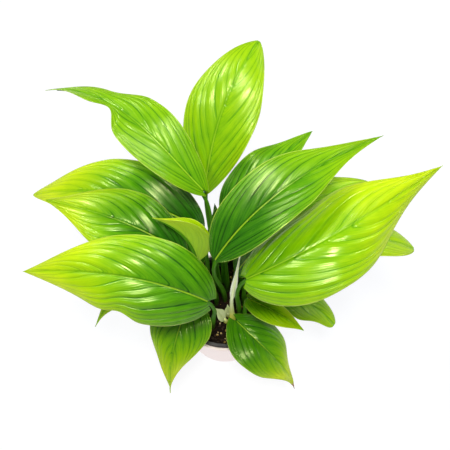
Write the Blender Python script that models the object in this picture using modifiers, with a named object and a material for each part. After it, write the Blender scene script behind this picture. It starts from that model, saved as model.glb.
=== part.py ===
"""A young peace lily in a growing pot that stands in a pale pink outer pot.

Every leaf is one closed solid: a stalk that stands in a hole in the soil and a blade on a curved midrib.
Lengths are written in millimetres and scaled to metres where a mesh is made. +Z is up, and the origin is
the middle of the outer pot's flat underside.
"""

import math
import random

import bmesh
import bpy
import numpy as np

MM = 0.001
GAP = 0.3                       # air between two pieces that touch

# Outer pot
POT_HEIGHT = 110.0
POT_TOP_RADIUS = 60.0
POT_BASE_RADIUS = 46.0
POT_WALL = 2.5
POT_FLOOR = 3.0
POT_LIP_HEIGHT = 6.0
POT_LIP_PROUD = 0.8
POT_LIP_EASE = 0.6
POT_FOOT_EASE = 1.2
POT_INNER_CORNER = 2.0

# Growing pot, inside it
LINER_WALL = 1.4
LINER_RIM_WIDTH = 3.6
LINER_RIM_RISE = 2.0            # how far its rim stands above the outer pot's
LINER_RIM_DEPTH = 5.0
LINER_RIM_EASE = 0.5
LINER_RIM_FLARE = 1.0
LINER_CORNER = 2.5
LINER_NECK = 4.0                # height over which its inside widens under the rim
LINER_ROOM = 1.2                # air between its wall and the outer pot's
DRAIN_HOLES = 6
DRAIN_RADIUS = 4.0
DRAIN_CIRCLE = 26.0

# Soil
SOIL_TOP = 98.0
SOIL_BUMP = 1.0
SOIL_RINGS = (0.0, 0.25, 0.5, 0.72, 0.9, 1.0)
BITS = 22
BIT_SIZES = (1.6, 3.2)
ROOT_DEPTH = 12.0
HOLE_SIDES = 10
HOLE_SLACK = 0.05
ROUND_STEPS = 36

# Leaves
UP = np.array([0.0, 0.0, 1.0])
BLADE_THICK = 0.8
STALK_RADIUS_BASE = 1.7         # where it meets the blade
STALK_RADIUS_ROOT = 2.7
RIB_DEPTH = 1.2                 # how far the midrib stands out under the blade
RIB_SPREAD = 0.12
BLADE_START = 0.012             # first and last stations along the blade
BLADE_END = 0.975
ACROSS = (-1.0, -0.62, -0.25, 0.0, 0.25, 0.62, 1.0)
STALK_STATIONS = (0.0, 0.2, 0.45, 0.7, 0.9)


def fresh_scene():
    for old in list(bpy.data.objects):
        bpy.data.objects.remove(old, do_unlink=True)
    plant = bpy.data.collections.new("potted_peace_lily")
    cutters = bpy.data.collections.new("cutters")
    for collection in (plant, cutters):
        bpy.context.scene.collection.children.link(collection)
    return plant, cutters


def finish(name, rgb, roughness, metallic=0.0):
    material = bpy.data.materials.new(name)
    material.use_nodes = True
    shader = material.node_tree.nodes["Principled BSDF"]
    shader.inputs["Base Color"].default_value = (*rgb, 1.0)
    shader.inputs["Roughness"].default_value = roughness
    shader.inputs["Metallic"].default_value = metallic
    return material


def add_object(name, mesh, collection, material=None):
    thing = bpy.data.objects.new(name, mesh)
    collection.objects.link(thing)
    if material is not None:
        mesh.materials.append(material)
    return thing


def turned(name, profile, collection, material=None):
    """A profile of (radius, height) points, top to bottom down the outer side, turned about Z."""
    mesh = bpy.data.meshes.new(name)
    points = [(radius * MM, 0.0, height * MM) for radius, height in profile]
    mesh.from_pydata(points, [(i, i + 1) for i in range(len(points) - 1)], [])
    thing = add_object(name, mesh, collection, material)
    screw = thing.modifiers.new("turn", "SCREW")
    screw.steps = ROUND_STEPS
    screw.render_steps = ROUND_STEPS
    screw.use_merge_vertices = True
    screw.merge_threshold = 0.0001
    return thing


def applied(thing):
    """The object's shape with its modifiers worked in, as a plain mesh."""
    graph = bpy.context.evaluated_depsgraph_get()
    mesh = bpy.data.meshes.new_from_object(thing.evaluated_get(graph))
    thing.modifiers.clear()
    thing.data = mesh
    return thing


def peg(name, x, y, low, high, radius, sides, cutters):
    """An upright round cutter between two heights."""
    shape = bmesh.new()
    bmesh.ops.create_cone(shape, cap_ends=True, segments=sides, radius1=radius * MM, radius2=radius * MM,
                          depth=(high - low) * MM)
    bmesh.ops.translate(shape, verts=shape.verts, vec=(x * MM, y * MM, (low + high) / 2 * MM))
    mesh = bpy.data.meshes.new(name)
    shape.to_mesh(mesh)
    shape.free()
    cutter = add_object(name, mesh, cutters)
    cutter.hide_render = True
    cutter.display_type = "WIRE"
    return cutter


def combine(thing, group, operation):
    boolean = thing.modifiers.new(operation.lower(), "BOOLEAN")
    boolean.operation = operation
    boolean.solver = "EXACT"
    boolean.operand_type = "COLLECTION"
    boolean.collection = group


# ---------------------------------------------------------------- pots and soil

def taper(height):
    """Radius of the outer pot's outside at a height."""
    return POT_BASE_RADIUS + (POT_TOP_RADIUS - POT_BASE_RADIUS) * height / POT_HEIGHT


def outer_pot(plant):
    """Slightly tapering cup with a straight band at its lip; the lip and the foot are eased."""
    proud = POT_LIP_PROUD
    band = POT_HEIGHT - POT_LIP_HEIGHT
    inner_top = POT_TOP_RADIUS - POT_WALL
    profile = [
        (inner_top, POT_HEIGHT - POT_LIP_EASE),
        (inner_top + POT_LIP_EASE, POT_HEIGHT),
        (POT_TOP_RADIUS - POT_LIP_EASE, POT_HEIGHT),
        (POT_TOP_RADIUS, POT_HEIGHT - POT_LIP_EASE),
        (POT_TOP_RADIUS, band),
        (taper(band) - proud, band - proud),
        (POT_BASE_RADIUS, POT_FOOT_EASE),
        (POT_BASE_RADIUS - POT_FOOT_EASE, 0.0),
        (0.0, 0.0),
        (0.0, POT_FLOOR),
        (taper(POT_FLOOR) - POT_WALL - POT_INNER_CORNER, POT_FLOOR),
        (taper(POT_FLOOR + POT_INNER_CORNER) - POT_WALL, POT_FLOOR + POT_INNER_CORNER),
        (inner_top, POT_HEIGHT - POT_LIP_EASE),
    ]
    pink = finish("pale_pink_plastic", (0.86, 0.70, 0.67), 0.35)
    turned("outer_pot", profile, plant, pink)


def liner_outside(height):
    """Radius of the growing pot's outside, clear of the outer pot's inner wall."""
    return taper(height) - POT_WALL - LINER_ROOM


def growing_pot(plant, cutters):
    """Thin dark pot with a turned-out rim band and drain holes, standing on the outer pot's floor."""
    top = POT_HEIGHT + LINER_RIM_RISE
    rim_low = top - LINER_RIM_DEPTH
    rim_outer = taper(rim_low) - POT_WALL - GAP
    rim_inner = rim_outer - LINER_RIM_WIDTH
    bottom = POT_FLOOR + GAP
    floor = bottom + LINER_WALL
    under_rim = rim_low - LINER_RIM_FLARE
    neck = rim_low - LINER_NECK
    profile = [
        (rim_inner, top - LINER_RIM_EASE),
        (rim_inner + LINER_RIM_EASE, top),
        (rim_outer - LINER_RIM_EASE, top),
        (rim_outer, top - LINER_RIM_EASE),
        (rim_outer, rim_low),
        (liner_outside(under_rim), under_rim),
        (liner_outside(bottom + LINER_CORNER), bottom + LINER_CORNER),
        (liner_outside(bottom) - LINER_CORNER, bottom),
        (0.0, bottom),
        (0.0, floor),
        (liner_outside(floor) - LINER_WALL - LINER_CORNER, floor),
        (liner_outside(floor + LINER_CORNER) - LINER_WALL, floor + LINER_CORNER),
        (liner_outside(neck) - LINER_WALL, neck),
        (rim_inner, top - LINER_RIM_EASE),
    ]
    grey = finish("dark_grey_plastic", (0.045, 0.040, 0.045), 0.5)
    pot = turned("growing_pot", profile, plant, grey)
    drains = bpy.data.collections.new("drains")
    cutters.children.link(drains)
    for i in range(DRAIN_HOLES):
        angle = 2 * math.pi * i / DRAIN_HOLES
        x = DRAIN_CIRCLE * math.cos(angle)
        y = DRAIN_CIRCLE * math.sin(angle)
        peg(f"drain_{i}", x, y, bottom - 2.0, floor + 2.0, DRAIN_RADIUS, 12, drains)
    combine(pot, drains, "DIFFERENCE")


def soil_height(x, y):
    """Height of the soil's uneven top at a place."""
    long_wave = math.sin(0.17 * x + 0.8) * math.cos(0.21 * y)
    short_wave = math.sin(0.4 * y - 0.3 * x)
    return SOIL_TOP + SOIL_BUMP * (long_wave + 0.5 * short_wave)


def soil(plant, cutters, leaves):
    """One lump that fills the growing pot, with bark and grit on top and a hole for each stalk."""
    bottom = POT_FLOOR + GAP + LINER_WALL + GAP
    wall = LINER_WALL + GAP
    edge = liner_outside(SOIL_TOP) - wall
    profile = [(edge * share, SOIL_TOP) for share in SOIL_RINGS]
    profile += [(liner_outside(bottom + LINER_CORNER) - wall, bottom + LINER_CORNER),
                (liner_outside(bottom) - wall - LINER_CORNER, bottom),
                (0.0, bottom)]
    brown = finish("potting_mix", (0.06, 0.035, 0.02), 0.9)
    lump = applied(turned("soil", profile, plant, brown))
    for vert in lump.data.vertices:
        x, y, z = (part / MM for part in vert.co)
        if z > SOIL_TOP - 1.0:
            vert.co.z = soil_height(x, y) * MM

    holes = bpy.data.collections.new("holes")
    bits = bpy.data.collections.new("bits")
    cutters.children.link(holes)
    cutters.children.link(bits)
    for name, leaf in leaves.items():
        radius = (STALK_RADIUS_ROOT * leaf.girth + GAP) / math.cos(math.pi / HOLE_SIDES) + HOLE_SLACK
        low = SOIL_TOP - ROOT_DEPTH - GAP
        peg(f"hole_{name}", *leaf.root, low, SOIL_TOP + 8.0, radius, HOLE_SIDES, holes)

    draw = random.Random(7)
    placed = []
    while len(placed) < BITS:
        distance = (edge - 5.0) * math.sqrt(draw.random())
        angle = draw.uniform(0.0, 2 * math.pi)
        size = draw.uniform(*BIT_SIZES)
        x = distance * math.cos(angle)
        y = distance * math.sin(angle)
        clear = all(math.dist((x, y), leaf.root) > size + STALK_RADIUS_ROOT * leaf.girth + 2.0
                    for leaf in leaves.values())
        apart = all(math.dist((x, y), (px, py)) > size + other + 0.8 for px, py, other in placed)
        if not (clear and apart):
            continue
        placed.append((x, y, size))
        shape = bmesh.new()
        bmesh.ops.create_icosphere(shape, subdivisions=1, radius=size * MM)
        bmesh.ops.scale(shape, verts=shape.verts, vec=(1.0, draw.uniform(0.6, 1.0), 0.75))
        height = soil_height(x, y) + 0.1 * size
        bmesh.ops.translate(shape, verts=shape.verts, vec=(x * MM, y * MM, height * MM))
        mesh = bpy.data.meshes.new(f"bit_{len(placed)}")
        shape.to_mesh(mesh)
        shape.free()
        add_object(f"bit_{len(placed)}", mesh, bits).hide_render = True
    combine(lump, bits, "UNION")
    combine(lump, holes, "DIFFERENCE")


# ---------------------------------------------------------------- leaves

def unit(vector):
    return vector / np.linalg.norm(vector)


def bezier(points, t):
    s = 1.0 - t
    return s**3 * points[0] + 3 * s * s * t * points[1] + 3 * s * t * t * points[2] + t**3 * points[3]


def bezier_heading(points, t):
    s = 1.0 - t
    return unit(s * s * (points[1] - points[0]) + 2 * s * t * (points[2] - points[1])
                + t * t * (points[3] - points[2]))


class Leaf:
    """A leaf's own measures: places in millimetres, angles in degrees.

    root is where the stalk leaves the soil, base where it meets the blade, tip the blade's point, and half
    the blade's half width. rise and sway bow the midrib up and to its right, in its first and second half.
    belly is how far along it is widest, shoulder how full its base is, drip how drawn out its point is, and
    neck where that begins and ends. tuck is a place where the left margin rolls under, and how much of it.
    bank and twist roll it about its midrib, fold is the angle of its halves at the midrib, curl how far
    they bend down again towards the margins, wave the height of the ripple along the margins, lobe how far
    the blade reaches back past its base, and girth how thick the stalk's foot is against a plain one's.
    """

    def __init__(self, root, base, tip, half, rise=(30, 30), sway=(0, 0), belly=0.36, shoulder=0.55,
                 drip=0.4, bank=0, twist=0, fold=(18, 10), curl=30, wave=1.5, phase=0.0, lobe=6,
                 neck=(0.52, 0.94), tuck=(0.6, 0.0), girth=1.0, stations=10):
        self.root = root
        self.base = np.array(base, float)
        self.tip = np.array(tip, float)
        self.half = half
        self.belly = belly
        self.shoulder = shoulder
        self.drip = drip
        self.bank = bank
        self.twist = twist
        self.fold = fold
        self.curl = math.radians(curl)
        self.wave = wave
        self.phase = phase
        self.lobe = lobe
        self.neck = neck
        self.tuck = tuck
        self.girth = girth
        self.stations = stations
        chord = self.tip - self.base
        ahead = unit(np.array([chord[0], chord[1], 0.0]))
        self.side = np.array([ahead[1], -ahead[0], 0.0])
        over = unit(np.cross(self.side, chord))
        self.midrib = [self.base,
                       self.base + chord / 3 + over * rise[0] + self.side * sway[0],
                       self.base + chord * 2 / 3 + over * rise[1] + self.side * sway[1],
                       self.tip]
        steps = [bezier(self.midrib, t) for t in np.linspace(0, 1, 101)]
        walked = np.concatenate([[0.0], np.cumsum([math.dist(a, b) for a, b in zip(steps, steps[1:])])])
        self.walked = walked / walked[-1]

    def frame(self, u):
        """Midrib point, heading, sideways and upward directions at a share u of the blade's length."""
        t = float(np.interp(u, self.walked, np.linspace(0, 1, 101)))
        heading = bezier_heading(self.midrib, t)
        side = unit(self.side - heading * np.dot(heading, self.side))
        up = np.cross(side, heading)
        late = min(max((u - 0.35) / 0.5, 0.0), 1.0)
        roll = math.radians(self.bank + self.twist * late * late * (3 - 2 * late))
        c, s = math.cos(roll), math.sin(roll)
        return bezier(self.midrib, t), heading, side * c + up * s, up * c - side * s

    def width(self, u):
        """Half width of the blade at u, with its widest place at belly and a drawn-out point."""
        fall = self.shoulder * (1 - self.belly) / self.belly
        begin, end = self.neck
        late = min(max((u - begin) / (end - begin), 0.0), 1.0)
        point = 1.0 - self.drip * late * late * (3 - 2 * late)
        return self.half * (u / self.belly) ** self.shoulder * ((1 - u) / (1 - self.belly)) ** fall * point

    def surface(self, u, v):
        """A point of the upper face: u runs from base to tip, v across it from -1 to 1."""
        middle, heading, side, up = self.frame(u)
        place, depth = self.tuck if v < 0 else (0.0, 0.0)
        width = self.width(u) * (1 - depth * math.exp(-((u - place) / 0.08) ** 2))
        across = abs(v)
        start = math.radians(self.fold[0] + (self.fold[1] - self.fold[0]) * u)
        end = start - self.curl * across
        if self.curl:
            out = (math.sin(start) - math.sin(end)) / self.curl
            lift = (math.cos(end) - math.cos(start)) / self.curl
        else:
            out = across * math.cos(start)
            lift = across * math.sin(start)
        turn = 2 * math.pi * (2.5 * u + self.phase + (0.37 if v > 0 else 0.0))
        ripple = self.wave * across**2 * math.sin(turn) * math.sqrt(math.sin(math.pi * u))
        back = self.lobe * across**1.5 * math.exp(-u / 0.1)
        return middle + side * math.copysign(out * width, v) + up * (lift * width + ripple) - heading * back

    def normal(self, u, v):
        """The upper face's own upward direction."""
        du = self.surface(min(u + 0.01, 1.0), v) - self.surface(u - 0.01, v)
        dv = self.surface(u, min(v + 0.02, 1.0)) - self.surface(u, max(v - 0.02, -1.0))
        return unit(np.cross(dv, du))

    def blade_ring(self, u):
        """One turn round the blade: the upper face from left to right, then the lower face back."""
        upper = [self.surface(u, v) for v in ACROSS]
        rib = RIB_DEPTH * (1 - u)
        depth = [BLADE_THICK + rib * math.exp(-(v / RIB_SPREAD) ** 2) for v in ACROSS]
        lower = [point - self.normal(u, v) * d for point, v, d in zip(upper, ACROSS, depth)]
        return upper + lower[::-1]

    def stalk_rings(self):
        """Rings up the stalk, from its foot in the soil to just under the blade."""
        foot = np.array([*self.root, SOIL_TOP - ROOT_DEPTH])
        collar = np.array([*self.root, SOIL_TOP + 4.0])
        reach = np.linalg.norm(self.base - collar)
        lean = unit((self.base - collar) / reach + 0.35 * bezier_heading(self.midrib, 0.0))
        path = [collar, collar + UP * reach * 0.35, self.base - lean * reach * 0.3, self.base]
        stations = [(foot, UP, 0.0)]
        for t in STALK_STATIONS:
            stations.append((bezier(path, t), bezier_heading(path, t), t))
        count = len(ACROSS)
        rings = []
        for middle, heading, t in stations:
            side = unit(self.side - heading * np.dot(heading, self.side))
            up = np.cross(side, heading)
            radius = STALK_RADIUS_ROOT * self.girth * (1 - t) + STALK_RADIUS_BASE * t
            ring = []
            for k in range(2 * count):
                angle = math.pi - (k + 0.5) * math.pi / count
                ring.append(middle + (side * math.cos(angle) + up * math.sin(angle)) * radius)
            rings.append(ring)
        return rings


def leaf_solid(name, leaf, plant, material):
    """Loft from the stalk's round foot through the blade to its point, in triangles.

    The strips of the lower face are split the same way as those above them, so both faces bend alike.
    """
    last = leaf.stations - 1
    shares = [(1 - math.cos(math.pi * i / last)) / 2 for i in range(leaf.stations)]
    stations = [BLADE_START + (BLADE_END - BLADE_START) * share for share in shares]
    rings = leaf.stalk_rings() + [leaf.blade_ring(u) for u in stations]
    shape = bmesh.new()
    rows = [[shape.verts.new(point * MM) for point in ring] for ring in rings]
    turns = len(rows[0])
    half = turns // 2
    for below, above in zip(rows, rows[1:]):
        for i in range(turns):
            j = (i + 1) % turns
            if i < half:
                shape.faces.new((below[i], above[j], above[i]))
                shape.faces.new((below[i], below[j], above[j]))
            else:
                shape.faces.new((below[i], below[j], above[i]))
                shape.faces.new((below[j], above[j], above[i]))
    shape.faces.new(rows[0])
    point = shape.verts.new((leaf.tip - leaf.normal(0.98, 0.0) * BLADE_THICK / 2) * MM)
    end = rows[-1]
    for i in range(turns):
        shape.faces.new((end[i], end[(i + 1) % turns], point))
    bmesh.ops.recalc_face_normals(shape, faces=shape.faces)
    mesh = bpy.data.meshes.new(name)
    shape.to_mesh(mesh)
    shape.free()
    mesh.shade_smooth()
    mesh.set_sharp_from_angle(angle=math.radians(50))
    return add_object(name, mesh, plant, material)


LEAVES = {
    "leaf_back_tall": Leaf((-6, 15), (-20, 55, 283), (33, 176, 362), 36, rise=(17, 28), sway=(-9, -9),
                           belly=0.5, shoulder=0.75, drip=0.1),
    "leaf_back_left": Leaf((-13, 9), (-20, 40, 310), (-174, 134, 340), 29, rise=(34, 36), sway=(2, 30),
                           belly=0.42, shoulder=0.68, fold=(20, 15), curl=20, twist=-30, neck=(0.5, 0.68),
                           tuck=(0.62, 0.7)),
    "leaf_left_upper": Leaf((-21, 11), (-26, 25, 257), (-200, 67, 250), 41, rise=(46, 35), sway=(5, 6),
                            belly=0.42, bank=6),
    "leaf_left_middle": Leaf((-20, 2), (-41, -5, 262), (-177, 44, 284), 35, rise=(27, 15), sway=(3, 3),
                             belly=0.42, shoulder=0.7, bank=3),
    "leaf_left_front": Leaf((-14, -29), (-16, -50, 250), (-198, -22, 259), 44, rise=(47, 34), sway=(2, 0),
                            belly=0.33, bank=26, curl=50, lobe=8, tuck=(0.45, 0.15), drip=0.2),
    "leaf_young_folded": Leaf((-10, -1), (-26, -11, 260), (-69, 16, 302), 20, rise=(12, 12), sway=(8, 8),
                              shoulder=0.8, drip=0.5, bank=-50, fold=(90, 60), curl=0, wave=0, lobe=0),
    "leaf_front_left": Leaf((-20, -15), (-38, -21, 172), (-61, -109, 110), 35, rise=(25, 20), sway=(5, 6),
                            belly=0.25, shoulder=0.68, curl=45, drip=0),
    "leaf_front_right": Leaf((11, -36), (13, -38, 150), (79, -101, 95), 34, rise=(27, 25), sway=(3, -5),
                             belly=0.3, shoulder=0.68, bank=14, curl=50, lobe=10),
    "leaf_right_folded": Leaf((24, -22), (24, -17, 166), (85, -53, 163), 22, rise=(10, 10), bank=-25,
                              fold=(62, 48), curl=0, lobe=0),
    "leaf_right_large": Leaf((17, -15), (19, -37, 278), (204, 57, 329), 50, rise=(23, 0), sway=(16, 6),
                             belly=0.33, fold=(8, 5), curl=55, bank=8, twist=-45, drip=0.3,
                             neck=(0.55, 0.9)),
    "leaf_right_back": Leaf((0, 3), (-10, -22, 287), (148, 81, 343), 32, rise=(33, 14), sway=(-13, -13),
                            shoulder=0.7, fold=(28, 15), curl=20, lobe=0),
    "leaf_back_right": Leaf((3, 17), (2, 31, 273), (86, 104, 315), 27, rise=(19, 14)),
    "leaf_right_inner": Leaf((14, 5), (13, -3, 212), (128, 57, 282), 24, rise=(40, 20), sway=(0, -3),
                             belly=0.4),
    "leaf_right_upper": Leaf((11, 14), (24, 19, 236), (154, 70, 262), 30, rise=(24, 26), sway=(-3, -5),
                             belly=0.55),
    "leaf_right_drooping": Leaf((22, 1), (28, 3, 212), (189, 4, 254), 30, rise=(36, 46), sway=(0, -18),
                                belly=0.5, drip=0, bank=20),
    "leaf_right_front": Leaf((28, -9), (40, -6, 142), (122, -40, 140), 24, rise=(16, 14), sway=(-10, -14),
                             belly=0.6, bank=15),
    "leaf_left_hooked": Leaf((-27, -9), (-36, -3, 156), (-145, -42, 140), 18, rise=(20, 20),
                             sway=(10, 35), drip=0.4),
    "leaf_centre_small": Leaf((-2, 27), (-3, 40, 130), (-12, 98, 169), 15, rise=(5, 5), stations=9),
    "leaf_low_back_left": Leaf((-15, 23), (-34, 34, 132), (-80, 104, 146), 26, rise=(20, 20)),
    "leaf_low_back_right": Leaf((19, 18), (22, 32, 150), (72, 112, 155), 28, rise=(20, 20)),
    "leaf_low_right": Leaf((30, 3), (38, 18, 130), (142, 56, 122), 27, rise=(16, 20)),
    "leaf_low_left": Leaf((-29, 0), (-36, 8, 145), (-132, 34, 135), 28, rise=(20, 25)),
    "young_shoot": Leaf((9, -26), (7, -26, 186), (15, -3, 256), 7.5, rise=(0, 0), belly=0.2, drip=0,
                        fold=(0, 0), curl=-150, bank=170, wave=0, lobe=0, girth=1.5, stations=6),
    "sheath_left": Leaf((1, -23), (0, -23, 107), (-12, -16, 130), 6.5, rise=(2, 2), wave=0, lobe=0,
                        stations=5),
    "sheath_middle": Leaf((4, -15), (4, -16, 106), (3, -11, 126), 4.5, rise=(1, 1), wave=0, lobe=0,
                          stations=5),
}


plant, cutters = fresh_scene()
outer_pot(plant)
growing_pot(plant, cutters)
soil(plant, cutters, LEAVES)
green = finish("leaf_green", (0.13, 0.40, 0.02), 0.3)
cream = finish("pale_sheath", (0.72, 0.76, 0.50), 0.5)
for name, leaf in LEAVES.items():
    leaf_solid(name, leaf, plant, green if name.startswith("leaf") else cream)
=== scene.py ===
import math
import random

import bmesh
import bpy
import numpy as np
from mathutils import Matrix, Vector, noise


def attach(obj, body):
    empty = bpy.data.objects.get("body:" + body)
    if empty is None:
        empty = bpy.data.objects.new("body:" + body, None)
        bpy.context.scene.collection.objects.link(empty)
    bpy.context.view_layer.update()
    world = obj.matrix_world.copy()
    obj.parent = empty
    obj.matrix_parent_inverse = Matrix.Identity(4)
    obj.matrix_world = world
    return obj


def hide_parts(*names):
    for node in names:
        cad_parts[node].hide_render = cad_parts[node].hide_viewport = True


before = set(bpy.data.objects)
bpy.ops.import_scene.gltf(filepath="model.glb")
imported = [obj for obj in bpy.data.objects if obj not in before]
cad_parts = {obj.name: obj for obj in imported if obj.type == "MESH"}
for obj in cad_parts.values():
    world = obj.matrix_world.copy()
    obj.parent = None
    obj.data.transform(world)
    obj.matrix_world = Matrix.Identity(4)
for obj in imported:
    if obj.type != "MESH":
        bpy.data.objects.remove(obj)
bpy.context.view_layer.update()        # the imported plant: one body, "root"


# ---------------------------------------------------------------- table, camera and light
# The plant stands on a bright white table top in a pale room and is seen from above its front. Three
# small lamps give its leaves their streaks of light: one over its front, and one behind it on each side.

class Wire:
    """An output socket of a material that takes part in sums as a number does."""

    def __init__(self, paint, socket):
        self.paint = paint
        self.socket = socket

    def maths(self, operation, *values):
        return self.paint.node("Math", {"operation": operation}, dict(enumerate(values)))

    def __add__(self, other):
        return self.maths("ADD", self, other)

    def __sub__(self, other):
        return self.maths("SUBTRACT", self, other)

    def __mul__(self, other):
        return self.maths("MULTIPLY", self, other)

    def __abs__(self):
        return self.maths("ABSOLUTE", self)

    __radd__ = __add__
    __rmul__ = __mul__


class Paint:
    """A named material, made with the fixed values of its shader; node() adds any node to it."""

    def __init__(self, name, **fixed):
        self.material = bpy.data.materials.new(name)
        self.material.use_nodes = True
        self.tree = self.material.node_tree
        self.shader = self.tree.nodes["Principled BSDF"]
        for socket, value in fixed.items():
            self.shader.inputs[socket.replace("_", " ")].default_value = value

    def node(self, kind, settings, sockets, output=0):
        made = self.tree.nodes.new("ShaderNode" + kind)
        for setting, value in settings.items():
            setattr(made, setting, value)
        for socket, value in sockets.items():
            if isinstance(value, Wire):
                self.tree.links.new(value.socket, made.inputs[socket])
            else:
                made.inputs[socket].default_value = value
        return Wire(self, made.outputs[output])

    def place(self):
        """Where on the object a point is, in metres."""
        return self.node("TexCoord", {}, {}, "Object")

    def value(self, name):
        """A number that the mesh holds for each vertex."""
        return self.node("Attribute", {"attribute_name": name}, {}, "Fac")

    def vector(self, x, y):
        return self.node("CombineXYZ", {}, {"X": x, "Y": y})

    def noise(self, scale, detail=3.0, vector=None):
        return self.node("TexNoise", {}, {"Vector": vector or self.place(), "Scale": scale,
                                          "Detail": detail, "Roughness": 0.55})

    def step(self, value, low, high):
        """0 below low and 1 above high, eased between them; low may be the larger."""
        return self.node("MapRange", {"interpolation_type": "SMOOTHSTEP"},
                         {"Value": value, "From Min": low, "From Max": high})

    def blend(self, factor, first, second):
        """Two colours mixed by a factor; a fixed colour is three numbers."""
        both = [colour if isinstance(colour, Wire) else (*colour, 1.0) for colour in (first, second)]
        return self.node("Mix", {"data_type": "RGBA"}, {0: factor, 6: both[0], 7: both[1]}, 2)

    def ramp(self, factor, *stops):
        """A colour picked by a factor from a row of (place, colour) stops."""
        colour = self.node("ValToRGB", {}, {"Fac": factor})
        elements = colour.socket.node.color_ramp.elements
        while len(elements) < len(stops):
            elements.new(0.5)
        for element, (place, shade) in zip(elements, stops):
            element.position = place
            element.color = (*shade, 1.0)
        return colour

    def feed(self, socket, value):
        self.tree.links.new(value.socket, self.shader.inputs[socket])

    def bump(self, height, distance):
        """Fine relief, a height of 1 standing this far out in metres."""
        relief = self.node("Bump", {}, {"Height": height, "Distance": distance, "Strength": 1.0})
        self.feed("Normal", relief)


def shown(name, shape, paint):
    """A finished bmesh as an object with smooth faces."""
    mesh = bpy.data.meshes.new(name)
    shape.to_mesh(mesh)
    shape.free()
    mesh.shade_smooth()
    mesh.materials.append(paint.material)
    thing = bpy.data.objects.new(name, mesh)
    bpy.context.scene.collection.objects.link(thing)
    return thing


def repaint(node, paint):
    """Shows a CAD solid as it is, in a paint of its own."""
    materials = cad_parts[node].data.materials
    materials.clear()
    materials.append(paint.material)


TABLE_SIDE = 6.0
LAMP_SIDE = 0.20
LAMP_AIM = (0.0, 0.0, 0.25)     # the middle of the foliage

table_paint = Paint("white_table", Roughness=0.9, Specular_IOR_Level=0.1, Emission_Strength=0.86)
cloud = table_paint.noise(1.6, 2.0)
table_paint.feed("Base Color", table_paint.ramp(
    cloud, (0.3, (0.16, 0.16, 0.17)), (0.7, (0.20, 0.20, 0.20))))
table_paint.feed("Emission Color", table_paint.ramp(
    cloud, (0.3, (0.96, 0.97, 1.0)), (0.7, (1.0, 1.0, 1.0))))
shape = bmesh.new()
bmesh.ops.create_grid(shape, x_segments=4, y_segments=4, size=TABLE_SIDE / 2)
table = shown("table", shape, table_paint)

camera_data = bpy.data.cameras.new("camera")
camera_data.angle = math.radians(35)
camera = bpy.data.objects.new("camera", camera_data)
camera.location = (0.0, -0.275, 0.909)
camera.rotation_euler = (math.radians(25), 0.0, 0.0)
bpy.context.scene.collection.objects.link(camera)
bpy.context.scene.camera = camera


def lamp(name, place, power):
    """A square lamp at a place in metres, aimed at the foliage."""
    data = bpy.data.lights.new(name, "AREA")
    data.shape = "RECTANGLE"
    data.size = LAMP_SIDE
    data.size_y = LAMP_SIDE
    data.energy = power
    thing = bpy.data.objects.new(name, data)
    thing.location = place
    thing.rotation_euler = (Vector(LAMP_AIM) - Vector(place)).to_track_quat("-Z", "Y").to_euler()
    bpy.context.scene.collection.objects.link(thing)


lamp("lamp_overhead", (0.0, -0.30, 1.50), 12.0)
lamp("lamp_left", (-0.62, 0.45, 1.35), 6.0)
lamp("lamp_right", (0.75, 0.62, 1.25), 6.0)

world = bpy.data.worlds.new("pale_room")
world.use_nodes = True
room = world.node_tree.nodes["Background"].inputs
room["Color"].default_value = (0.98, 0.98, 0.95, 1.0)
room["Strength"].default_value = 0.26
bpy.context.scene.world = world
bpy.context.scene.view_settings.view_transform = "Standard"


# ---------------------------------------------------------------- outer pot
# A cover pot of pale pink plastic with a satin gloss: a slightly tapering cup with a straight band at its
# lip. It is moulded in one piece, with an eased foot, and turned here from one profile.

MM = 0.001                      # the sizes of the pieces below are in millimetres
POT_HEIGHT = 110.0
POT_TOP_RADIUS = 60.0
POT_BASE_RADIUS = 46.0
POT_WALL = 2.5
POT_FLOOR = 3.0
POT_LIP_HEIGHT = 6.0
POT_LIP_PROUD = 0.8
POT_FOOT_EASE = 1.2
POT_INNER_CORNER = 2.0
POT_ROUNDING = 0.5


def taper(height):
    """Radius of the outer pot's outside at a height."""
    return POT_BASE_RADIUS + (POT_TOP_RADIUS - POT_BASE_RADIUS) * height / POT_HEIGHT


def turned(profile, steps, rounding=0.0):
    """A closed bmesh, turned about Z from a profile of (radius, height) points in millimetres.

    The profile starts and ends on the axis, and its corners may be rounded.
    """
    shape = bmesh.new()
    verts = [shape.verts.new((radius * MM, 0.0, height * MM)) for radius, height in profile]
    for pair in zip(verts, verts[1:]):
        shape.edges.new(pair)
    if rounding:
        bmesh.ops.bevel(shape, geom=verts[1:-1], offset=rounding * MM, segments=3, profile=0.5,
                        affect="VERTICES", material=-1)
    bmesh.ops.spin(shape, geom=shape.verts[:] + shape.edges[:], cent=(0, 0, 0), axis=(0, 0, 1),
                   angle=2 * math.pi, steps=steps, use_merge=True)
    bmesh.ops.remove_doubles(shape, verts=shape.verts, dist=0.00001)
    bmesh.ops.recalc_face_normals(shape, faces=shape.faces)
    return shape


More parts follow.
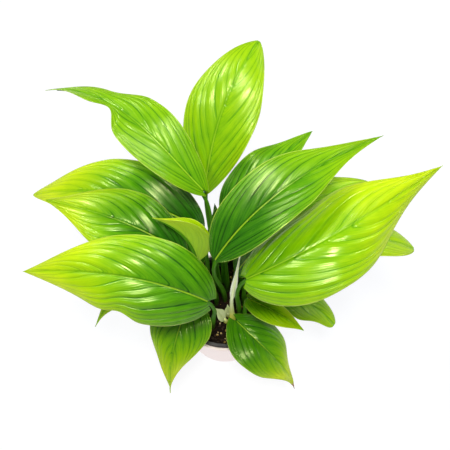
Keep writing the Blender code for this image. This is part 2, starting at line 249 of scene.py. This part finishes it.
# the pot has a faint pink glow, painted light that stands in for light thrown up onto it from the white
# table
pink = Paint("pale_pink_plastic", IOR=1.5, Emission_Color=(1.0, 0.86, 0.83, 1.0), Emission_Strength=0.12)
pink.feed("Base Color", pink.blend(pink.noise(14.0), (0.93, 0.755, 0.725), (0.96, 0.80, 0.775)))
pink.feed("Roughness", 0.26 + 0.12 * pink.noise(45.0, 2.0))
pink.bump(pink.noise(420.0, 2.0), 0.00004)
band = POT_HEIGHT - POT_LIP_HEIGHT
inner_top = POT_TOP_RADIUS - POT_WALL
pot = shown("cover_pot", turned([
    (0.0, 0.0),
    (POT_BASE_RADIUS - POT_FOOT_EASE, 0.0),
    (POT_BASE_RADIUS, POT_FOOT_EASE),
    (taper(band) - POT_LIP_PROUD, band - POT_LIP_PROUD),
    (POT_TOP_RADIUS, band),
    (POT_TOP_RADIUS, POT_HEIGHT),
    (inner_top, POT_HEIGHT),
    (taper(POT_FLOOR + POT_INNER_CORNER) - POT_WALL, POT_FLOOR + POT_INNER_CORNER),
    (taper(POT_FLOOR) - POT_WALL - POT_INNER_CORNER, POT_FLOOR),
    (0.0, POT_FLOOR),
], steps=128, rounding=POT_ROUNDING), pink)
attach(pot, "root")
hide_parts("outer_pot")


# ---------------------------------------------------------------- growing pot
# The nursery pot that the plant was raised in: thin dark grey plastic with a turned-out rim. It stands
# inside the outer pot, and its rim shows as a dark band just above the pink lip.

liner = Paint("dark_grey_plastic")
scuffs = liner.step(liner.noise(60.0, 4.0), 0.45, 0.75)
liner.feed("Base Color", liner.blend(scuffs, (0.052, 0.045, 0.052), (0.11, 0.095, 0.095)))
liner.feed("Roughness", 0.36 + 0.22 * liner.noise(160.0))
liner.bump(liner.noise(700.0, 2.0), 0.00005)
repaint("growing_pot", liner)


# ---------------------------------------------------------------- soil
# Peat-brown potting mix, filled to a finger's width under the rim. It is painted near black: partly the
# peat's own dark brown and partly painted shade of the leaves over it. The lump is the CAD solid; on it
# lies a crumbly top, turned and then raised by noise.

SOIL_TOP = 98.0
SOIL_RADIUS = 54.3
CRUST_RINGS = 44
CRUST_DEPTH = 2.0
CRUST_RISE = 2.0                # how far the crumbly top stands above the lump
CRUMB_HEIGHT = 1.6

peat = Paint("potting_mix", Specular_IOR_Level=0.15)
grain = peat.noise(330.0, 5.0)
clump = peat.noise(90.0, 3.0)
# the peat's near-black is partly its own dark brown and partly painted shade of the leaves over it
peat.feed("Base Color", peat.ramp(
    0.6 * grain + 0.4 * clump,
    (0.30, (0.003, 0.002, 0.001)), (0.50, (0.012, 0.006, 0.003)), (0.66, (0.040, 0.019, 0.008)),
    (0.78, (0.20, 0.11, 0.04))))
peat.feed("Roughness", 0.7 + 0.3 * grain)
peat.bump(grain, 0.0012)
repaint("soil", peat)


def soil_height(x, y):
    """Height of the soil's top at a place, all in millimetres."""
    wave = math.sin(0.17 * x + 0.8) * math.cos(0.21 * y) + 0.5 * math.sin(0.4 * y - 0.3 * x)
    lump = noise.fractal(Vector((x * 0.16, y * 0.16, 3.0)), 0.9, 2.1, 4)
    return SOIL_TOP + CRUST_RISE + wave + CRUMB_HEIGHT * lump


crust = [(SOIL_RADIUS * k / CRUST_RINGS, SOIL_TOP) for k in range(CRUST_RINGS + 1)]
crust += [(SOIL_RADIUS, SOIL_TOP - CRUST_DEPTH), (0.0, SOIL_TOP - CRUST_DEPTH)]
shape = turned(crust, steps=150)
for vert in shape.verts:
    if vert.co.z > (SOIL_TOP - CRUST_DEPTH / 2) * MM:
        vert.co.z = soil_height(vert.co.x / MM, vert.co.y / MM) * MM
crumble = shown("soil_top", shape, peat)
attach(crumble, "root")


# ---------------------------------------------------------------- leaves
# Each leaf is a glossy lance-shaped blade on a long round stalk. Its midrib is sunk on top and stands out
# below, and curved side veins press it into long soft pillows. The blade starts as a flat grid that is
# made solid and laid onto the leaf's two faces; the stalk starts as a cut-up cylinder and runs on as the
# rib under the blade.

UP = np.array([0.0, 0.0, 1.0])
STALK_RADIUS_BASE = 1.7
STALK_RADIUS_ROOT = 2.7
ROOT_DEPTH = 12.0
RIB_RADIUS_TIP = 0.25           # of the rib under the blade, where it ends near the point
STALK_SIDES = 20
STALK_CUTS = 118
COLLAR = 4.0                    # how far above the soil a stalk starts to bend
WING_RISE = 0.45                # of the two low wings along a stalk's foot
CHANNEL_DEPTH = 0.14            # of the shallow channel up a stalk's front
BLADE_THICK = 0.45
FLAT_THICK = 0.5                # of the flat blade, before it is laid onto the leaf's faces
BLADE_START = 0.004
BLADE_END = 0.996
RIPPLES = 2.5                   # waves along a margin
RIPPLE_SHIFT = 0.37             # of the right margin's waves against the left's
TUCK_REACH = 0.08
LOBE_REACH = 0.1
VEIN_SWEEP = 0.44               # how far a side vein runs forward on its way to the margin
VEIN_REACH = 0.85
VEIN_SPACING = 0.145            # along the midrib, as a share of its length
VEIN_SHIFT = 0.5                # the veins of the two halves leave the midrib in turn
PRESSED = 1.3                   # how deep the veins of most leaves press in
GROOVE_DEPTH = 0.6              # of the sunk midrib
GROOVE_WIDTH = 1.3


def unit(vectors):
    """The vectors, each scaled to a length of 1."""
    return vectors / np.linalg.norm(vectors, axis=-1, keepdims=True)


def ease(values, low, high):
    """0 below low and 1 above high, eased between them."""
    share = np.clip((values - low) / (high - low), 0.0, 1.0)
    return share * share * (3 - 2 * share)


def bezier(points, t):
    """Places at shares t of a cubic curve with these four control points."""
    t = np.asarray(t, float)[..., None]
    s = 1.0 - t
    return s**3 * points[0] + 3 * s * s * t * points[1] + 3 * s * t * t * points[2] + t**3 * points[3]


def bezier_heading(points, t):
    """Which way the curve runs at shares t of it."""
    t = np.asarray(t, float)[..., None]
    s = 1.0 - t
    return unit(s * s * (points[1] - points[0]) + 2 * s * t * (points[2] - points[1])
                + t * t * (points[3] - points[2]))


class Leaf:
    """A leaf's own measures, as in the solid that it stands for: places in millimetres, angles in degrees.

    root is where the stalk leaves the soil, base where it meets the blade, tip the blade's point, and
    half the blade's half width. rise and sway bow the midrib up and to its right, in its first and second
    half. belly is how far along it is widest, shoulder how full its base is, drip how drawn out its point
    is, and neck where that begins and ends. tuck is a place where the left margin rolls under, and how
    much of it. bank and twist roll it about its midrib, fold is the angle of its halves at the midrib,
    curl how far they bend down again towards the margins, wave the height of the ripple along the margins,
    lobe how far the blade reaches back past its base, and girth how thick the stalk's foot is against a
    plain one's. tone is how pale it is painted at the base and at the point, partly its own green and
    partly painted light and shade: darker at the foot, in the shaded crown, and paler at the point, where
    the light falls. ripen is how late it pales on the way, dry how brown the point is, and quilt how deep
    its veins press in. A fine leaf has a finer grid.
    """

    def __init__(self, root, base, tip, half, rise=(30, 30), sway=(0, 0), belly=0.36, shoulder=0.55,
                 drip=0.4, bank=0, twist=0, fold=(18, 10), curl=30, wave=1.5, lobe=6, neck=(0.52, 0.94),
                 tuck=(0.6, 0.0), girth=1.0, tone=(0.35, 0.6), quilt=PRESSED, ripen=1.4, dry=0.0,
                 fine=False):
        self.root = root
        self.base = np.array(base, float)
        self.tip = np.array(tip, float)
        self.half = half
        self.belly = belly
        self.shoulder = shoulder
        self.drip = drip
        self.bank = bank
        self.twist = twist
        self.fold = fold
        self.curl = math.radians(curl)
        self.wave = wave
        self.lobe = lobe
        self.neck = neck
        self.tuck = tuck
        self.girth = girth
        self.tone = tone
        self.quilt = quilt
        self.ripen = ripen
        self.dry = dry
        self.own = 0.7 * root[0] + 0.45 * root[1]       # sets its veins apart from other leaves'
        self.rows, self.columns = (170, 73) if fine else (96, 41)
        chord = self.tip - self.base
        ahead = unit(np.array([chord[0], chord[1], 0.0]))
        self.side = np.array([ahead[1], -ahead[0], 0.0])
        over = unit(np.cross(self.side, chord))
        self.midrib = [self.base,
                       self.base + chord / 3 + over * rise[0] + self.side * sway[0],
                       self.base + chord * 2 / 3 + over * rise[1] + self.side * sway[1],
                       self.tip]
        steps = bezier(self.midrib, np.linspace(0, 1, 101))
        walked = np.concatenate([[0.0], np.cumsum(np.linalg.norm(np.diff(steps, axis=0), axis=1))])
        self.walked = walked / walked[-1]

    def frame(self, u):
        """Midrib points, headings, sideways and upward directions at shares u of the blade's length."""
        t = np.interp(u, self.walked, np.linspace(0, 1, 101))
        heading = bezier_heading(self.midrib, t)
        side = unit(self.side - heading * (heading @ self.side)[..., None])
        up = np.cross(side, heading)
        roll = np.radians(self.bank + self.twist * ease(u, 0.35, 0.85))[..., None]
        return (bezier(self.midrib, t), heading, side * np.cos(roll) + up * np.sin(roll),
                up * np.cos(roll) - side * np.sin(roll))

    def width(self, u):
        """Half width of the blade at u, with its widest place at belly and a drawn-out point."""
        fall = self.shoulder * (1 - self.belly) / self.belly
        point = 1.0 - self.drip * ease(u, *self.neck)
        swell = (u / self.belly) ** self.shoulder
        return self.half * swell * ((1 - u) / (1 - self.belly)) ** fall * point

    def surface(self, u, v):
        """Points of the smooth upper face: a row for each u and a column for each v."""
        middle, heading, side, up = (part[:, None, :] for part in self.frame(u))
        place, depth = self.tuck
        tucked = depth * np.exp(-((u - place) / TUCK_REACH) ** 2)[:, None] * (v < 0)[None, :]
        width = self.width(u)[:, None] * (1 - tucked)
        across = np.abs(v)[None, :]
        start = np.radians(self.fold[0] + (self.fold[1] - self.fold[0]) * u)[:, None]
        if self.curl:
            end = start - self.curl * across
            out = (np.sin(start) - np.sin(end)) / self.curl
            lift = (np.cos(end) - np.cos(start)) / self.curl
        else:
            out = across * np.cos(start)
            lift = across * np.sin(start)
        turn = 2 * np.pi * (RIPPLES * u[:, None] + np.where(v > 0, RIPPLE_SHIFT, 0.0)[None, :])
        ripple = self.wave * across**2 * np.sin(turn) * np.sqrt(np.sin(np.pi * u))[:, None]
        back = self.lobe * across**1.5 * np.exp(-u / LOBE_REACH)[:, None]
        return (middle + side * (np.sign(v)[None, :] * out * width)[..., None]
                + up * (lift * width + ripple)[..., None] - heading * back[..., None])

    def veins(self, u, v):
        """Which side vein a place is at: a whole number on a vein, a half midway between two.

        The veins are unevenly spaced, and each leaf has its own spacing.
        """
        swept = u[:, None] + VEIN_SWEEP * np.log(1 - VEIN_REACH * np.abs(v))[None, :]
        count = swept / VEIN_SPACING + VEIN_SHIFT * ease(v, -0.1, 0.1)[None, :]
        return count + 0.15 * np.sin(2.3 * count + self.own) + 0.05 * np.sin(5.1 * count + 2 * self.own)

    def relief(self, u, v):
        """How far the pillows between the veins and the groove of the midrib move the upper face."""
        vein = self.veins(u, v)
        across = np.abs(v)[None, :]
        width = self.width(u)[:, None]
        swell = np.abs(np.sin(np.pi * vein)) ** 1.4 * (0.75 + 0.35 * np.sin(1.7 * vein + 3 * self.own))
        inwards = ease(across, 0.0, 0.2) * (1 - 0.85 * across**4)
        lengthways = (ease(u, 0.0, 0.12) * ease(1 - u, 0.0, 0.55))[:, None]
        height = self.quilt * np.minimum(width / 40.0, 1.0) * inwards * lengthways * (swell - 0.45)
        groove = GROOVE_DEPTH * np.exp(-(across * width / GROOVE_WIDTH) ** 2) * (1 - 0.6 * u)[:, None]
        return height - groove

    def faces(self, u, v):
        """The upper and lower faces with their relief."""
        smooth = self.surface(u, v)
        upper = smooth + grid_normals(smooth) * self.relief(u, v)[..., None]
        thick = BLADE_THICK * (1 - 0.4 * np.abs(v) ** 4)
        return upper, upper - grid_normals(upper) * thick[None, :, None]

    def stalk(self):
        """Points up the middle of the stalk and on under the midrib, with the radius at each."""
        collar = np.array([*self.root, SOIL_TOP + COLLAR])
        reach = np.linalg.norm(self.base - collar)
        lean = unit((self.base - collar) / reach + 0.35 * bezier_heading(self.midrib, 0.0))
        path = [collar, collar + UP * reach * 0.35, self.base - lean * reach * 0.3, self.base]
        foot = collar - UP * np.linspace(ROOT_DEPTH + COLLAR, 1.0, 6)[:, None]
        t = np.linspace(0.0, 0.95, 60)
        u = np.linspace(0.02, 0.93, 70)
        middle, _, _, up = self.frame(u)
        rib = (STALK_RADIUS_BASE - 0.1) * (1 - u) ** 0.8 + RIB_RADIUS_TIP
        under = middle - up * (rib + BLADE_THICK)[:, None]
        points = np.concatenate([foot, bezier(path, t), under])
        swell = 0.35 * np.exp(-((1 - t) / 0.07) ** 2)
        thick = STALK_RADIUS_ROOT * self.girth
        shaft = thick + (STALK_RADIUS_BASE - thick) * t**0.8 + swell
        radius = np.concatenate([np.full(len(foot), thick), shaft, rib])
        for _ in range(12):
            points[1:-1] = (points[:-2] + 2 * points[1:-1] + points[2:]) / 4
        return points, radius


def grid_normals(points):
    """Outward directions of a face that is a grid of points."""
    return unit(np.cross(np.gradient(points, axis=1), np.gradient(points, axis=0)))


def flat_blade(leaf):
    """A flat square grid of the leaf's rows and columns, made solid."""
    shape = bmesh.new()
    bmesh.ops.create_grid(shape, x_segments=leaf.columns - 1, y_segments=leaf.rows - 1, size=1.0)
    bmesh.ops.solidify(shape, geom=shape.verts[:] + shape.edges[:] + shape.faces[:],
                       thickness=FLAT_THICK)
    return shape


def stalk_tube():
    """An upright cylinder of unit length cut into rings, with closed ends."""
    shape = bmesh.new()
    bmesh.ops.create_cone(shape, cap_ends=True, segments=STALK_SIDES, radius1=1.0, radius2=1.0, depth=1.0)
    upright = [edge for edge in shape.edges if abs(edge.verts[0].co.z - edge.verts[1].co.z) > 0.5]
    bmesh.ops.subdivide_edges(shape, edges=upright, cuts=STALK_CUTS)
    return shape


def coordinates(mesh):
    """The places of a mesh's vertices, a row for each."""
    flat = np.empty(len(mesh.vertices) * 3)
    mesh.vertices.foreach_get("co", flat)
    return flat.reshape(-1, 3)


def add_values(mesh, name, values):
    """A number for each vertex that the paint can read."""
    mesh.attributes.new(name, "FLOAT", "POINT").data.foreach_set("value", values.astype(np.float32))


def add_map(mesh, across, along):
    """The leaf's own map: U runs across it and V from its foot to its point."""
    corners = np.empty(len(mesh.loops), int)
    mesh.loops.foreach_get("vertex_index", corners)
    both = np.stack([across[corners], along[corners]], axis=1).astype(np.float32)
    mesh.uv_layers.new(name="leaf").data.foreach_set("uv", both.ravel())


def make_blade(name, leaf, paint):
    """The flat blade laid onto the leaf's two faces, with what its paint reads at each vertex."""
    thing = shown(name, flat_blade(leaf), paint)
    mesh = thing.data
    flat = coordinates(mesh)
    row = np.rint((flat[:, 1] + 1) / 2 * (leaf.rows - 1)).astype(int)
    column = np.rint((flat[:, 0] + 1) / 2 * (leaf.columns - 1)).astype(int)
    under = np.abs(flat[:, 2]) > FLAT_THICK / 2
    # the rows crowd towards both ends of the blade, and the columns towards its midrib
    share = np.linspace(0, 1, leaf.rows)
    u = BLADE_START + (BLADE_END - BLADE_START) * (0.4 * share + 0.6 * (1 - np.cos(np.pi * share)) / 2)
    line = np.linspace(-1, 1, leaf.columns)
    v = np.sign(line) * np.abs(line) ** 1.25
    upper, lower = leaf.faces(u, v)
    places = np.where(under[:, None], lower[row, column], upper[row, column]) * MM
    mesh.vertices.foreach_set("co", places.ravel())
    # painted light and shade mixed with the leaf's own green: the tone is darker at the foot, in the
    # shaded crown, and paler towards the point and the margins, where the light falls
    outwards = ease(u[row] + 0.12 * np.abs(v[column]), 0.05, 0.95) ** leaf.ripen
    tone = leaf.tone[0] + (leaf.tone[1] - leaf.tone[0]) * outwards
    add_values(mesh, "tone", tone + 0.08 * np.abs(v[column]) ** 3)
    add_values(mesh, "vein", leaf.veins(u, v)[row, column])
    add_values(mesh, "under", under)
    add_values(mesh, "height", np.ones(len(flat)))
    add_values(mesh, "dry", leaf.dry * ease(u, 0.88, 0.94)[row])
    add_values(mesh, "pressed", np.full(len(flat), leaf.quilt / PRESSED))
    add_values(mesh, "off_rib", np.abs(v[column]) * leaf.width(u)[row])
    add_map(mesh, (v[column] + 1) / 2, u[row])
    mesh.update()
    return thing


def make_stalk(name, leaf, paint):
    """The cut-up cylinder laid along the leaf's stalk and rib, with wings at its foot and a channel."""
    thing = shown(name, stalk_tube(), paint)
    mesh = thing.data
    flat = coordinates(mesh)
    points, radius = leaf.stalk()
    walked = np.concatenate([[0.0], np.cumsum(np.linalg.norm(np.diff(points, axis=0), axis=1))])
    share = flat[:, 2] + 0.5
    along = share * walked[-1]
    middle = np.stack([np.interp(along, walked, points[:, k]) for k in range(3)], axis=1)
    slope = np.gradient(points, axis=0)
    heading = unit(np.stack([np.interp(along, walked, slope[:, k]) for k in range(3)], axis=1))
    side = unit(leaf.side - heading * (heading @ leaf.side)[:, None])
    up = np.cross(side, heading)
    angle = np.arctan2(flat[:, 1], flat[:, 0])
    size = np.interp(along, walked, radius)
    collar = ROOT_DEPTH + COLLAR
    from_front = np.abs(angle - np.pi / 2)
    wing = WING_RISE * ease(along, collar - 2.0, collar + 12.0)
    wing = wing * (1 - ease(along, 0.25 * walked[-1], 0.36 * walked[-1]))
    flare = np.exp(-((from_front - 0.75) / 0.28) ** 2)
    channel = CHANNEL_DEPTH * np.exp(-(from_front / 0.5) ** 2)
    size = size * (1 + wing * flare - channel)
    places = middle + side * (np.cos(angle) * size)[:, None] + up * (np.sin(angle) * size)[:, None]
    mesh.vertices.foreach_set("co", (places * MM).ravel())
    add_values(mesh, "height", np.clip(along / walked[-1], 0, 1))
    add_map(mesh, (angle / np.pi + 1) / 2, share)
    mesh.update()
    return thing


GREENS = (                      # from the darkest green of an old leaf to the yellow of a point
    (0.00, (0.004, 0.050, 0.001)),
    (0.20, (0.018, 0.140, 0.001)),
    (0.40, (0.078, 0.290, 0.001)),
    (0.60, (0.205, 0.460, 0.001)),
    (0.80, (0.370, 0.610, 0.001)),
    (1.00, (0.600, 0.780, 0.004)),
)
RIB_YELLOW = (0.38, 0.62, 0.02)
MARGIN_YELLOW = (0.72, 0.88, 0.12)
UNDERSIDE = (0.30, 0.50, 0.03)
DRY_BROWN = (0.42, 0.16, 0.09)

green = Paint("leaf_green", IOR=1.45, Specular_IOR_Level=0.75, Specular_Tint=(0.92, 1.0, 0.42, 1.0))
leaf_map = green.node("UVMap", {"uv_map": "leaf"}, {})
across = abs(green.node("SeparateXYZ", {}, {0: leaf_map}, "X") * 2.0 - 1.0)
along = green.node("SeparateXYZ", {}, {0: leaf_map}, "Y")
vein, off_rib, under, tone, pressed, dry = (
    green.value(name) for name in ("vein", "off_rib", "under", "tone", "pressed", "dry"))
off_vein = vein.maths("PINGPONG", vein, 0.5)
off_fine = vein.maths("PINGPONG", vein * 5.0 + 0.2, 0.5)
patches = green.noise(30.0)
specks = green.noise(900.0, 2.0)
grain = green.noise(1.0, 3.0, green.vector(vein * 9.0, along * 14.0))
fades = green.step(green.noise(1.0, 2.0, green.vector(vein * 1.3, along * 6.0)), 0.35, 0.6)
# groove and fine_groove mark the sunk veins, and rib_side the sides of the sunk midrib, for painted shade
groove = green.step(off_vein, 0.10, 0.03) * fades * pressed
fine_groove = green.step(off_fine, 0.2, 0.0)
rib = green.step(off_rib, 0.9, 0.3)
rib_side = green.step(off_rib, 2.2, 1.0)
edge = green.step(across, 0.965, 0.99)
mottle = 0.30 * (patches - 0.5) + 0.22 * (grain - 0.5) + 0.06 * (specks - 0.5)
# painted shade: darker in the sunk side veins, the fine veins and beside the sunk midrib, where the
# grooves lie in shade
painted_groove_shade = 0.34 * groove * green.step(tone, 1.15, 0.2) + 0.03 * fine_groove + 0.10 * rib_side
# a painted highlight: the crowns of the pillows between the veins are painted a little paler
shade = tone + 0.05 * green.step(off_vein, 0.1, 0.5) + mottle - painted_groove_shade
colour = green.ramp(shade, *GREENS)
colour = green.blend(rib * green.step(along, 0.8, 0.1) * 0.65, colour, RIB_YELLOW)
colour = green.blend(edge * 0.5, colour, MARGIN_YELLOW)
colour = green.blend(under * 0.5, colour, UNDERSIDE)
green.feed("Base Color", green.blend(dry, colour, DRY_BROWN))
green.feed("Roughness", 0.12 + 0.14 * grain + 0.08 * specks + 0.25 * under)
green.bump(0.55 * green.step(off_vein, 0.0, 0.1) + 0.2 * green.step(off_fine, 0.0, 0.3) + 0.35 * grain
           + 0.1 * specks, 0.00035)

stem = Paint("stalk_green", Specular_IOR_Level=0.12, Specular_Tint=(0.92, 1.0, 0.4, 1.0))
stem_map = stem.node("UVMap", {"uv_map": "leaf"}, {})
stretched = stem.node("Mapping", {}, {"Vector": stem_map, "Scale": (26.0, 3.0, 1.0)})
streak = stem.node("TexNoise", {}, {"Vector": stretched, "Scale": 3.0, "Detail": 3.0})
foot_colour = stem.blend(streak, (0.03, 0.08, 0.005), (0.08, 0.16, 0.02))
shaft_colour = stem.blend(streak, (0.03, 0.15, 0.003), (0.09, 0.29, 0.008))
up_stem = stem.step(stem.value("height"), 0.03, 0.16)
stem.feed("Base Color", stem.blend(up_stem, foot_colour, shaft_colour))
stem.feed("Roughness", 0.32 + 0.2 * streak)
stem.bump(streak, 0.0002)

LEAVES = {
    "leaf_back_tall": Leaf((-6, 15), (-20, 55, 283), (33, 176, 362), 36, rise=(17, 28), sway=(-9, -9),
                           belly=0.5, shoulder=0.75, drip=0.1, tone=(0.58, 0.66), fine=True),
    "leaf_back_left": Leaf((-13, 9), (-20, 40, 310), (-174, 134, 340), 29, rise=(34, 36), sway=(2, 30),
                           belly=0.42, shoulder=0.68, fold=(20, 15), curl=20, twist=-30, neck=(0.5, 0.68),
                           tuck=(0.62, 0.7), tone=(0.46, 0.62), fine=True),
    "leaf_left_upper": Leaf((-21, 11), (-26, 25, 257), (-200, 67, 250), 41, rise=(46, 35), sway=(5, 6),
                            belly=0.42, bank=6, tone=(0.08, 0.98), fine=True),
    "leaf_left_middle": Leaf((-20, 2), (-41, -5, 262), (-177, 44, 284), 35, rise=(27, 15), sway=(3, 3),
                             belly=0.42, shoulder=0.7, bank=3, tone=(0.1, 0.84), fine=True),
    "leaf_left_front": Leaf((-14, -29), (-16, -50, 250), (-198, -22, 259), 44, rise=(47, 34), sway=(2, 0),
                            belly=0.33, bank=26, curl=50, lobe=8, tuck=(0.45, 0.15), drip=0.2,
                            tone=(0.3, 0.93), fine=True),
    "leaf_young_folded": Leaf((-10, -1), (-26, -11, 260), (-69, 16, 302), 20, rise=(12, 12), sway=(8, 8),
                              shoulder=0.8, drip=0.5, bank=-50, fold=(90, 60), curl=0, wave=0, lobe=0,
                              tone=(0.7, 0.9)),
    "leaf_front_left": Leaf((-20, -15), (-38, -21, 172), (-61, -109, 110), 35, rise=(25, 20), sway=(5, 6),
                            belly=0.25, shoulder=0.68, curl=45, drip=0, tone=(0.28, 1.0), fine=True),
    "leaf_front_right": Leaf((11, -36), (13, -38, 150), (79, -101, 95), 34, rise=(27, 25), sway=(3, -5),
                             belly=0.3, shoulder=0.68, bank=14, curl=50, lobe=10, tone=(0.28, 1.15),
                             ripen=2.2, dry=1.0, quilt=0.7, fine=True),
    "leaf_right_folded": Leaf((24, -22), (24, -17, 166), (85, -53, 163), 22, rise=(10, 10), bank=-25,
                              fold=(62, 48), curl=0, lobe=0, tone=(0.45, 0.85)),
    "leaf_right_large": Leaf((17, -15), (19, -37, 278), (204, 57, 329), 50, rise=(23, 0), sway=(16, 6),
                             belly=0.33, fold=(8, 5), curl=55, bank=8, twist=-45, drip=0.3,
                             neck=(0.55, 0.9), tone=(0.54, 0.93), ripen=2.0, fine=True),
    "leaf_right_back": Leaf((0, 3), (-10, -22, 287), (148, 81, 343), 32, rise=(33, 14), sway=(-13, -13),
                            shoulder=0.7, fold=(28, 15), curl=20, lobe=0, tone=(0.17, 0.62), fine=True),
    "leaf_back_right": Leaf((3, 17), (2, 31, 273), (86, 104, 315), 27, rise=(19, 14), tone=(0.2, 0.5),
                            fine=True),
    "leaf_right_inner": Leaf((14, 5), (13, -3, 212), (128, 57, 282), 24, rise=(40, 20), sway=(0, -3),
                             belly=0.4, tone=(0.2, 0.5)),
    "leaf_right_upper": Leaf((11, 14), (24, 19, 236), (154, 70, 262), 30, rise=(24, 26), sway=(-3, -5),
                             belly=0.55, tone=(0.25, 0.7)),
    "leaf_right_drooping": Leaf((22, 1), (28, 3, 212), (189, 4, 254), 30, rise=(36, 46), sway=(0, -18),
                                belly=0.5, drip=0, bank=20, tone=(0.35, 0.78), fine=True),
    "leaf_right_front": Leaf((28, -9), (40, -6, 142), (122, -40, 140), 24, rise=(16, 14), sway=(-10, -14),
                             belly=0.6, bank=15, tone=(0.33, 0.7)),
    "leaf_left_hooked": Leaf((-27, -9), (-36, -3, 156), (-145, -42, 140), 18, rise=(20, 20),
                             sway=(10, 35), drip=0.4, tone=(0.25, 0.75)),
    "leaf_centre_small": Leaf((-2, 27), (-3, 40, 130), (-12, 98, 169), 15, rise=(5, 5), tone=(0.1, 0.15)),
    "leaf_low_back_left": Leaf((-15, 23), (-34, 34, 132), (-80, 104, 146), 26, rise=(20, 20),
                               tone=(0.2, 0.4)),
    "leaf_low_back_right": Leaf((19, 18), (22, 32, 150), (72, 112, 155), 28, rise=(20, 20),
                                tone=(0.2, 0.4)),
    "leaf_low_right": Leaf((30, 3), (38, 18, 130), (142, 56, 122), 27, rise=(16, 20), tone=(0.2, 0.4)),
    "leaf_low_left": Leaf((-29, 0), (-36, 8, 145), (-132, 34, 135), 28, rise=(20, 25), tone=(0.2, 0.4)),
}

for name, leaf in LEAVES.items():
    piece = make_blade(name + "_blade", leaf, green)
    stalk = make_stalk(name + "_stalk", leaf, stem)
    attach(piece, "root")
    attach(stalk, "root")
    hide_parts(name)


# ---------------------------------------------------------------- young shoot and sheaths
# The youngest leaf stands rolled up at the crown, a cream spindle on a pale stalk with a yellow foot. Two
# small papery sheaths stand beside it. They are blades and stalks like those of the leaves.

SHEATHS = {
    "young_shoot": Leaf((9, -26), (7, -26, 186), (15, -3, 256), 7.5, rise=(0, 0), belly=0.2, drip=0,
                        fold=(0, 0), curl=-150, bank=170, wave=0, lobe=0, girth=1.5),
    "sheath_left": Leaf((1, -23), (0, -23, 107), (-12, -16, 130), 6.5, rise=(2, 2), wave=0, lobe=0),
    "sheath_middle": Leaf((4, -15), (4, -16, 106), (3, -11, 126), 4.5, rise=(1, 1), wave=0, lobe=0),
}

papery = Paint("papery_sheath", Roughness=0.45)
pale = papery.blend(papery.noise(200.0), (0.76, 0.86, 0.36), (0.94, 0.97, 0.66))
yellow_foot = papery.step(papery.value("height"), 0.6, 0.25)
papery.feed("Base Color", papery.blend(yellow_foot, pale, (0.80, 0.80, 0.08)))
# the spindle has a faint cream glow, painted light that makes it look lit in the shaded crown
cream = Paint("cream_spindle", Roughness=0.35, Emission_Color=(1.0, 1.0, 0.85, 1.0),
              Emission_Strength=0.12)
cream.feed("Base Color", cream.blend(cream.noise(120.0), (0.88, 0.90, 0.66), (0.96, 0.96, 0.86)))

for name, leaf in SHEATHS.items():
    piece = make_blade(name + "_blade", leaf, cream if name == "young_shoot" else papery)
    stalk = make_stalk(name + "_stalk", leaf, papery)
    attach(piece, "root")
    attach(stalk, "root")
    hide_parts(name)


# ---------------------------------------------------------------- loose bits on the soil
# Chips of bark and golden and white grit, pressed a little into the crumbly top between the stalks.

CRUMB_SINK = 0.3                # share of a bit's height that is sunk in the soil
RIM_CLEAR = 2.5
ROOT_CLEAR = 3.0                # between a stalk's middle and a bit

roots = [leaf.root for leaf in [*LEAVES.values(), *SHEATHS.values()]]

bark = Paint("bark_chips")
bark.feed("Base Color", bark.ramp(
    bark.noise(150.0, 4.0),
    (0.25, (0.008, 0.004, 0.002)), (0.55, (0.045, 0.018, 0.007)), (0.8, (0.16, 0.07, 0.025))))
bark.feed("Roughness", 0.55 + 0.4 * bark.noise(400.0, 2.0))
bark.bump(bark.noise(900.0), 0.0003)
grit = Paint("golden_grit")
grit.feed("Base Color", grit.ramp(
    grit.noise(110.0, 2.0),
    (0.30, (0.20, 0.10, 0.02)), (0.52, (0.55, 0.33, 0.08)), (0.66, (0.80, 0.62, 0.30)),
    (0.78, (0.88, 0.82, 0.66))))
grit.feed("Roughness", 0.5 + 0.4 * grit.noise(500.0, 2.0))
grit.bump(grit.noise(1100.0, 2.0), 0.0002)


def scatter(name, paint, count, sizes, squash, seed):
    """Loose bits of one kind, in one mesh: small knobbly lumps, each turned and pressed into the soil."""
    draw = random.Random(seed)
    shape = bmesh.new()
    laid = 0
    while laid < count:
        distance = (SOIL_RADIUS - RIM_CLEAR) * math.sqrt(draw.random())
        angle = draw.uniform(0.0, 2 * math.pi)
        x = distance * math.cos(angle)
        y = distance * math.sin(angle)
        size = draw.uniform(*sizes)
        if any(math.dist((x, y), root) < ROOT_CLEAR + size for root in roots):
            continue
        laid += 1
        made = bmesh.ops.create_icosphere(shape, subdivisions=1, radius=size / 2 * MM)["verts"]
        for vert in made:
            vert.co *= draw.uniform(0.75, 1.2)
        stretch = (1.0, draw.uniform(0.55, 0.9), squash * draw.uniform(0.7, 1.2))
        bmesh.ops.scale(shape, verts=made, vec=stretch)
        tilt = Vector((draw.uniform(-0.5, 0.5), draw.uniform(-0.5, 0.5), 1.0)).to_track_quat("Z", "Y")
        heading = Vector((math.cos(angle * 5), math.sin(angle * 5), 0))
        spin = Vector((1, 0, 0)).rotation_difference(heading)
        bmesh.ops.rotate(shape, verts=made, cent=(0, 0, 0), matrix=tilt.to_matrix() @ spin.to_matrix())
        height = soil_height(x, y) + size / 2 * squash * (1 - 2 * CRUMB_SINK)
        bmesh.ops.translate(shape, verts=made, vec=(x * MM, y * MM, height * MM))
    thing = shown(name, shape, paint)
    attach(thing, "root")


scatter("bark_chips", bark, 260, (2.2, 6.0), 0.45, seed=11)
scatter("golden_grit", grit, 110, (1.4, 5.0), 0.7, seed=12)
